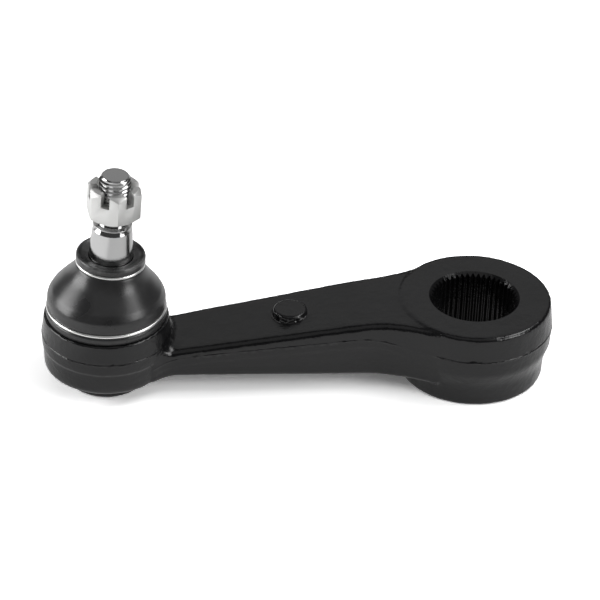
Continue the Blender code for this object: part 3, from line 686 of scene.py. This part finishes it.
tree.links.new(cloudy.outputs["Fac"], tone.inputs["Fac"])
tree.links.new(tone.outputs["Color"], paint.inputs["Base Color"])
tree.links.new(cloudy.outputs["Fac"], gloss.inputs["Value"])
tree.links.new(gloss.outputs["Result"], paint.inputs["Roughness"])
tree.links.new(pits.outputs["Distance"], mixed.inputs[0])
tree.links.new(skin.outputs["Fac"], mixed.inputs[2])
tree.links.new(mixed.outputs["Value"], bump.inputs["Height"])
tree.links.new(bump.outputs["Normal"], paint.inputs["Normal"])
tree.links.new(paint.outputs[0], surface.inputs["Surface"])
coat(forging, black_paint)
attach(forging, "arm")
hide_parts("arm_forging")

# The end cover: a pressed steel disc that closes the socket from below. The housing's rolled lip holds it,
# and it is painted with the forging.
cover_low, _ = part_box("end_cover")
cover = turned(
    [
        (0.0, 2.2, 0.0),
        (15.5, 2.2, 0.2),
        (15.5, 0.0, 0.3),
        (9.0, 0.0, 0.5),
        (8.3, 0.6, 0.4),
        (0.0, 0.6, 0.0),
    ],
    steps=96,
    closed=False,
    row=1.5 * MM,
)
cover = smooth_shaded(as_object("end_cover_disc", cover, (BALL_X, 0.0, cover_low.z)), 35)
coat(cover, black_paint)
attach(cover, "arm")
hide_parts("end_cover")

# The two bearing seats: rings of moulded resin, set into the socket, one above and one under the ball.
# They are hidden in the housing, so they keep the plain part's shape and only get their material.
resin, tree = new_finish("moulded_resin")
where = add_node(tree, "ShaderNodeTexCoord")
grain = add_node(tree, "ShaderNodeTexNoise", {"Scale": 900.0, "Detail": 2.0})
bump = add_node(tree, "ShaderNodeBump", {"Strength": 0.2, "Distance": 0.05 * MM})
shell = add_node(
    tree, "ShaderNodeBsdfPrincipled", {"Base Color": (0.66, 0.62, 0.5, 1.0), "Roughness": 0.5}
)
surface = add_node(tree, "ShaderNodeOutputMaterial")
tree.links.new(where.outputs["Object"], grain.inputs["Vector"])
tree.links.new(grain.outputs["Fac"], bump.inputs["Height"])
tree.links.new(bump.outputs["Normal"], shell.inputs["Normal"])
tree.links.new(shell.outputs[0], surface.inputs["Surface"])
for seat in ("upper_bearing_seat", "lower_bearing_seat"):
    coat(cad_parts[seat], resin)

# The preload spring: a disc spring of blued spring steel. It lies between the end cover and the lower seat,
# which it presses against the ball, and it is hidden too.
spring_steel, tree = new_finish("blued_spring_steel")
where = add_node(tree, "ShaderNodeTexCoord")
mottle = add_node(tree, "ShaderNodeTexNoise", {"Scale": 300.0, "Detail": 3.0})
tint = add_node(tree, "ShaderNodeMapRange", {"To Min": 0.3, "To Max": 0.45})
plate = add_node(
    tree, "ShaderNodeBsdfPrincipled", {"Base Color": (0.12, 0.13, 0.16, 1.0), "Metallic": 1.0}
)
surface = add_node(tree, "ShaderNodeOutputMaterial")
tree.links.new(where.outputs["Object"], mottle.inputs["Vector"])
tree.links.new(mottle.outputs["Fac"], tint.inputs["Value"])
tree.links.new(tint.outputs["Result"], plate.inputs["Roughness"])
tree.links.new(plate.outputs[0], surface.inputs["Surface"])
coat(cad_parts["preload_spring"], spring_steel)

# The ball stud: one turned and ground steel pin, with the ball at its foot, a taper that fits the next
# lever, and a threaded end. It leans a little, as the joint stands in the photograph. Its sizes are in
# millimetres, with heights counted from the ball's centre.
BALL_CENTRE = Vector((BALL_X, 0.0, 22.5 * MM))
LEAN_ANGLE = math.radians(2.5)
LEAN = Matrix.Rotation(LEAN_ANGLE, 3, "Y")
BALL_RADIUS = 14.0
THREAD_RADIUS = 7.0
THREAD_PITCH = 2.0
THREAD_START = 59.08
THREAD_STEPS = 48
STUD_END = 83.18
PIN_HOLE_RADIUS = 1.75
PIN_HOLE_HEIGHT = 74.83
PIN_HOLE_LENGTH = 28.0
PIN_TURN = math.radians(5)
stud = turned(
    [
        (0.0, STUD_END, 0.0),
        (5.82, STUD_END, 0.2),
        (THREAD_RADIUS - 0.8, STUD_END - 0.6, 0.0),
        (THREAD_RADIUS - 0.8, THREAD_START + 1.2, 0.0),
        (6.2, THREAD_START + 0.7, 0.3),
        (6.2, THREAD_START, 0.3),
        (8.6, THREAD_START, 0.15),
        (8.6, 58.6, 0.12),
        (7.7, 58.3, 0.2),
        (8.8, 56.38, 0.12),
        (9.4, 48.4, 0.5),
        (9.8, 43.9, 0.4),
        (9.75, 42.0, 0.4),
        (9.1, 40.6, 2.0),
        (7.0, 34.0, 2.0),
        (7.0, 12.12, 0.5),
        *[
            (BALL_RADIUS * math.cos(math.radians(a)), BALL_RADIUS * math.sin(math.radians(a)), 0.0)
            for a in range(54, -70, -6)
        ],
        (4.67, -13.2, 0.0),
        (0.0, -13.2, 0.0),
    ],
    steps=144,
    closed=False,
)
stud = as_object("turned_ball_stud", stud)

# The thread: one ridge wound up the stud, (radius, share of the pitch) at its corners, trimmed at both ends.
bm = bmesh.new()
ridge = [(5.9, -0.47), (THREAD_RADIUS, -0.07), (THREAD_RADIUS, 0.07), (5.9, 0.47)]
section = [
    bm.verts.new((r * MM, 0.0, (THREAD_START + 0.8 + z * THREAD_PITCH) * MM)) for r, z in ridge
]
section_edges = [bm.edges.new((section[i - 1], vert)) for i, vert in enumerate(section)]
bm.faces.new(section)
turns = int((STUD_END - THREAD_START) / THREAD_PITCH) + 1
grown = bmesh.ops.spin(
    bm,
    geom=section + section_edges,
    cent=(0.0, 0.0, 0.0),
    axis=(0.0, 0.0, 1.0),
    dvec=(0.0, 0.0, THREAD_PITCH * MM / THREAD_STEPS),
    angle=2 * math.pi * turns,
    steps=THREAD_STEPS * turns,
)["geom_last"]
bmesh.ops.contextual_create(bm, geom=[e for e in grown if isinstance(e, bmesh.types.BMEdge)])
bmesh.ops.recalc_face_normals(bm, faces=bm.faces)
thread = as_object("thread", bm)
thread_foot, thread_end = THREAD_START + 1.63, STUD_END - 0.07
envelope = turned(
    [
        (0.0, thread_end, 0.0),
        (5.8, thread_end, 0.1),
        (THREAD_RADIUS, STUD_END - 1.55, 0.25),
        (THREAD_RADIUS + 0.05, THREAD_START + 2.7, 0.0),
        (6.08, thread_foot, 0.0),
        (0.0, thread_foot, 0.0),
    ],
    steps=144,
    closed=False,
)
combine(thread, [(as_object("thread_envelope", envelope), "INTERSECT")])
bm = bmesh.new()
bmesh.ops.create_cone(
    bm,
    cap_ends=True,
    segments=32,
    radius1=PIN_HOLE_RADIUS * MM,
    radius2=PIN_HOLE_RADIUS * MM,
    depth=PIN_HOLE_LENGTH * MM,
)
across = Matrix.Rotation(PIN_TURN, 3, "Z") @ Matrix.Rotation(math.pi / 2, 3, "Y")
bmesh.ops.rotate(bm, verts=bm.verts, matrix=across)
pin_hole = as_object("pin_hole", bm, (0.0, 0.0, PIN_HOLE_HEIGHT * MM))
combine(stud, [(thread, "UNION"), (pin_hole, "DIFFERENCE")])


def on_stud(obj):
    """Moves a piece made on the Z axis onto the leaning stud, heights counted from the ball's centre."""
    obj.data.transform(Matrix.Translation(BALL_CENTRE) @ LEAN.to_4x4())
    return obj


on_stud(smooth_shaded(stud, 32))

ground_steel, tree = new_finish("ground_steel")
where = add_node(tree, "ShaderNodeTexCoord")
turned_marks = add_node(
    tree,
    "ShaderNodeMapping",
    {
        "Location": BALL_CENTRE,
        "Rotation": (0.0, LEAN_ANGLE, 0.0),
        "Scale": (50 * MM, 50 * MM, 0.25 * MM),
    },
    vector_type="TEXTURE",
)
marks = add_node(tree, "ShaderNodeTexNoise", {"Scale": 1.0, "Detail": 2.0})
gloss = add_node(tree, "ShaderNodeMapRange", {"To Min": 0.08, "To Max": 0.16})
bump = add_node(tree, "ShaderNodeBump", {"Strength": 0.8, "Distance": 0.03 * MM})
steel = add_node(
    tree, "ShaderNodeBsdfPrincipled", {"Base Color": (0.47, 0.47, 0.47, 1.0), "Metallic": 1.0}
)
surface = add_node(tree, "ShaderNodeOutputMaterial")
tree.links.new(where.outputs["Object"], turned_marks.inputs["Vector"])
tree.links.new(turned_marks.outputs[0], marks.inputs["Vector"])
tree.links.new(marks.outputs["Fac"], gloss.inputs["Value"])
tree.links.new(gloss.outputs["Result"], steel.inputs["Roughness"])
tree.links.new(marks.outputs["Fac"], bump.inputs["Height"])
tree.links.new(bump.outputs["Normal"], steel.inputs["Normal"])
tree.links.new(steel.outputs[0], surface.inputs["Surface"])
coat(stud, ground_steel)
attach(stud, "stud")
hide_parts("ball_stud")

# The castle nut: a zinc-plated hexagon nut with six slots cut across its crown, run part of the way down the
# thread, so that a slot lines up with the hole through the stud. Its sizes are in millimetres.
NUT_LOW = 63.38
NUT_HEIGHT = 14.5
NUT_FLATS = 22.0
NUT_SPARE = 1.0
SLOT_WIDTH = 4.0
SLOT_DEPTH = 6.1
SLOT_ROUNDING = 0.25
SLOT_CUTTER_LENGTH = 60.0
BROKEN_EDGE = 0.22
corner = NUT_FLATS / 2 / math.cos(math.pi / 6)
bm = bmesh.new()
bmesh.ops.create_circle(bm, cap_ends=True, segments=6, radius=corner * MM)
grown = bmesh.ops.extrude_face_region(bm, geom=bm.faces[:])["geom"]
risen = [v for v in grown if isinstance(v, bmesh.types.BMVert)]
bmesh.ops.translate(bm, verts=risen, vec=(0.0, 0.0, (NUT_HEIGHT + 2 * NUT_SPARE) * MM))
bmesh.ops.recalc_face_normals(bm, faces=bm.faces)
nut = as_object("plated_castle_nut", bm, (0.0, 0.0, -NUT_SPARE * MM))
barrel = turned(
    [
        (10.6, NUT_HEIGHT, 0.2),
        (13.2, NUT_HEIGHT - 2.7, 0.0),
        (13.1, 1.5, 0.0),
        (10.5, 0.0, 0.2),
        (8.2, 0.0, 0.0),
        (7.3, 0.9, 0.0),
        (7.3, NUT_HEIGHT - 0.9, 0.0),
        (8.2, NUT_HEIGHT, 0.0),
    ],
    steps=168,
)
tools = [(as_object("nut_barrel", barrel), "INTERSECT")]
for i in range(3):
    bm = bmesh.new()
    bmesh.ops.create_cube(bm, size=1.0)
    cutter = (SLOT_CUTTER_LENGTH * MM, SLOT_WIDTH * MM, 2 * SLOT_DEPTH * MM)
    bmesh.ops.scale(bm, vec=cutter, verts=bm.verts)
    bmesh.ops.bevel(
        bm,
        geom=[e for e in bm.edges if abs(e.verts[0].co.x - e.verts[1].co.x) > MM],
        offset=SLOT_ROUNDING * MM,
        affect="EDGES",
        segments=3,
        profile=0.5,
        material=-1,
    )
    bmesh.ops.rotate(bm, verts=bm.verts, matrix=Matrix.Rotation(i * math.pi / 3, 3, "Z"))
    tools.append((as_object(f"pin_slot_{i + 1}", bm, (0.0, 0.0, NUT_HEIGHT * MM)), "DIFFERENCE"))
combine(nut, tools)
edges = nut.modifiers.new("broken_edges", "BEVEL")
edges.width = BROKEN_EDGE * MM
edges.segments = 2
edges.limit_method = "ANGLE"
edges.angle_limit = math.radians(30)
bake(nut)
nut.data.transform(Matrix.Translation((0.0, 0.0, NUT_LOW * MM)) @ Matrix.Rotation(PIN_TURN, 4, "Z"))
on_stud(smooth_shaded(nut, 32))

plated_steel, tree = new_finish("zinc_plated_steel")
where = add_node(tree, "ShaderNodeTexCoord")
mottle = add_node(tree, "ShaderNodeTexNoise", {"Scale": 260.0, "Detail": 4.0})
gloss = add_node(tree, "ShaderNodeMapRange", {"To Min": 0.42, "To Max": 0.56})
bump = add_node(tree, "ShaderNodeBump", {"Strength": 0.15, "Distance": 0.05 * MM})
steel = add_node(
    tree, "ShaderNodeBsdfPrincipled", {"Base Color": (0.7, 0.7, 0.69, 1.0), "Metallic": 1.0}
)
surface = add_node(tree, "ShaderNodeOutputMaterial")
tree.links.new(where.outputs["Object"], mottle.inputs["Vector"])
tree.links.new(mottle.outputs["Fac"], gloss.inputs["Value"])
tree.links.new(gloss.outputs["Result"], steel.inputs["Roughness"])
tree.links.new(mottle.outputs["Fac"], bump.inputs["Height"])
tree.links.new(bump.outputs["Normal"], steel.inputs["Normal"])
tree.links.new(steel.outputs[0], surface.inputs["Surface"])
coat(nut, plated_steel)
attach(nut, "nut")
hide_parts("castle_nut")

# The dust boot: moulded rubber, round like a bell. Its foot has a bead that sits on the housing, and its
# mouth, coloured lighter towards its top, closes on the stud. It bends over with the stud, its foot held
# still.
HOUSING_FACE = HOUSING_TOP - BALL_CENTRE.z
BOOT_FOOT = HOUSING_FACE / MM
boot = turned(
    [
        (9.9, BOOT_FOOT + 30.4, 0.2),
        (10.8, BOOT_FOOT + 30.1, 0.4),
        (13.5, BOOT_FOOT + 31.0, 0.8),
        (14.5, BOOT_FOOT + 31.9, 0.5),
        (15.35, BOOT_FOOT + 31.2, 0.5),
        (15.35, BOOT_FOOT + 28.5, 0.4),
        (13.9, BOOT_FOOT + 28.2, 0.2),
        (13.9, BOOT_FOOT + 26.8, 0.3),
        (15.0, BOOT_FOOT + 26.4, 0.4),
        (17.0, BOOT_FOOT + 22.2, 2.5),
        (24.3, BOOT_FOOT + 13.7, 0.7),
        (26.3, BOOT_FOOT + 10.2, 1.2),
        (26.1, BOOT_FOOT + 5.2, 0.3),
        (25.35, BOOT_FOOT + 4.9, 0.2),
        (25.35, BOOT_FOOT + 3.9, 0.2),
        (26.6, BOOT_FOOT + 3.5, 0.5),
        (27.0, BOOT_FOOT + 2.4, 0.5),
        (26.6, BOOT_FOOT + 0.12, 0.2),
        (21.6, BOOT_FOOT + 0.12, 0.3),
        (21.6, BOOT_FOOT + 4.4, 0.8),
        (24.0, BOOT_FOOT + 8.7, 1.5),
        (22.4, BOOT_FOOT + 12.2, 1.0),
        (16.4, BOOT_FOOT + 19.8, 1.5),
        (13.6, BOOT_FOOT + 23.5, 1.5),
        (10.6, BOOT_FOOT + 26.0, 0.5),
        (9.9, BOOT_FOOT + 27.2, 0.3),
    ],
    steps=144,
    row=1.5 * MM,
)
bend_start, bend_end = HOUSING_FACE + 8.8 * MM, HOUSING_FACE + 26.2 * MM
for vert in boot.verts:
    share = ease((vert.co.z - bend_start) / (bend_end - bend_start))
    vert.co = Matrix.Rotation(LEAN_ANGLE * share, 3, "Y") @ vert.co
boot = smooth_shaded(as_object("rubber_boot", boot, BALL_CENTRE), 50)

RUBBER_DARK = (0.015, 0.015, 0.0155, 1.0)
RUBBER_LIGHT = (0.033, 0.033, 0.0335, 1.0)
# The rubber's colour runs lighter above a height near the top of the mouth, up to this lightest tone.
RUBBER_LIGHTEST = (0.1, 0.1, 0.1, 1.0)
MOUTH_LIGHTER_FROM = HOUSING_TOP + 29.5 * MM
rubber, tree = new_finish("moulded_rubber")
where = add_node(tree, "ShaderNodeTexCoord")
rubber_mottle = add_node(tree, "ShaderNodeTexNoise", {"Scale": 90.0, "Detail": 4.0})
upward = add_node(tree, "ShaderNodeSeparateXYZ")
# How far a point lies above that height, which lightens the mottle at the top of the mouth.
mouth_top_share = add_node(
    tree, "ShaderNodeMapRange", {"From Min": MOUTH_LIGHTER_FROM, "From Max": MOUTH_LIGHTER_FROM + 0.6 * MM, "To Max": 0.9}
)
mottle_lighter_at_mouth = add_node(tree, "ShaderNodeMath", operation="MULTIPLY_ADD")
shade = tone_ramp(tree, (0.15, RUBBER_DARK), (0.8, RUBBER_LIGHT), (1.0, RUBBER_LIGHTEST))
gloss = add_node(tree, "ShaderNodeMapRange", {"To Min": 0.2, "To Max": 0.4})
grain = add_node(tree, "ShaderNodeTexNoise", {"Scale": 1600.0, "Detail": 2.0})
bump = add_node(tree, "ShaderNodeBump", {"Strength": 0.15, "Distance": 0.05 * MM})
skin = add_node(tree, "ShaderNodeBsdfPrincipled", {"IOR": 1.5})
surface = add_node(tree, "ShaderNodeOutputMaterial")
for texture in (rubber_mottle, grain):
    tree.links.new(where.outputs["Object"], texture.inputs["Vector"])
tree.links.new(where.outputs["Object"], upward.inputs["Vector"])
tree.links.new(upward.outputs["Z"], mouth_top_share.inputs["Value"])
tree.links.new(mouth_top_share.outputs["Result"], mottle_lighter_at_mouth.inputs[0])
tree.links.new(rubber_mottle.outputs["Fac"], mottle_lighter_at_mouth.inputs[1])
tree.links.new(rubber_mottle.outputs["Fac"], mottle_lighter_at_mouth.inputs[2])
tree.links.new(mottle_lighter_at_mouth.outputs["Value"], shade.inputs["Fac"])
tree.links.new(shade.outputs["Color"], skin.inputs["Base Color"])
tree.links.new(rubber_mottle.outputs["Fac"], gloss.inputs["Value"])
tree.links.new(gloss.outputs["Result"], skin.inputs["Roughness"])
tree.links.new(grain.outputs["Fac"], bump.inputs["Height"])
tree.links.new(bump.outputs["Normal"], skin.inputs["Normal"])
tree.links.new(skin.outputs[0], surface.inputs["Surface"])
coat(boot, rubber)
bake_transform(boot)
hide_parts("dust_boot")

# The two boot rings: closed rings of bright spring wire. The lower one holds the boot's foot on the housing,
# and the upper one holds its mouth on the stud, each in a groove of the rubber.
WIRE_RADIUS = 0.72
bright_wire, tree = new_finish("bright_spring_wire")
where = add_node(tree, "ShaderNodeTexCoord")
draw_marks = add_node(tree, "ShaderNodeTexNoise", {"Scale": 700.0, "Detail": 2.0})
gloss = add_node(tree, "ShaderNodeMapRange", {"To Min": 0.26, "To Max": 0.36})
wire = add_node(
    tree, "ShaderNodeBsdfPrincipled", {"Base Color": (0.88, 0.88, 0.87, 1.0), "Metallic": 1.0}
)
surface = add_node(tree, "ShaderNodeOutputMaterial")
tree.links.new(where.outputs["Object"], draw_marks.inputs["Vector"])
tree.links.new(draw_marks.outputs["Fac"], gloss.inputs["Value"])
tree.links.new(gloss.outputs["Result"], wire.inputs["Roughness"])
tree.links.new(wire.outputs[0], surface.inputs["Surface"])


def wire_ring(name, radius, height):
    """A ring of wire on the Z axis, with the radius and height of the wire's middle in millimetres."""
    bm = bmesh.new()
    section = bmesh.ops.create_circle(bm, segments=16, radius=WIRE_RADIUS * MM)["verts"]
    bmesh.ops.rotate(bm, verts=section, matrix=Matrix.Rotation(math.pi / 2, 3, "X"))
    bmesh.ops.translate(bm, verts=section, vec=(radius * MM, 0.0, height * MM))
    spin_round(bm, 144)
    ring = as_object(name, bm)
    coat(ring, bright_wire)
    return smooth_shaded(ring, 60)


foot_ring = wire_ring("foot_wire_ring", 26.05, BOOT_FOOT + 4.4)
foot_ring.data.transform(Matrix.Translation(BALL_CENTRE))
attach(foot_ring, "arm")
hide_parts("boot_lower_ring")
mouth_ring = on_stud(wire_ring("mouth_wire_ring", 14.75, BOOT_FOOT + 27.5))
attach(mouth_ring, "collar")
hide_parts("boot_upper_ring")

# The colours are shown as they are.
bpy.context.scene.view_settings.view_transform = "Standard"
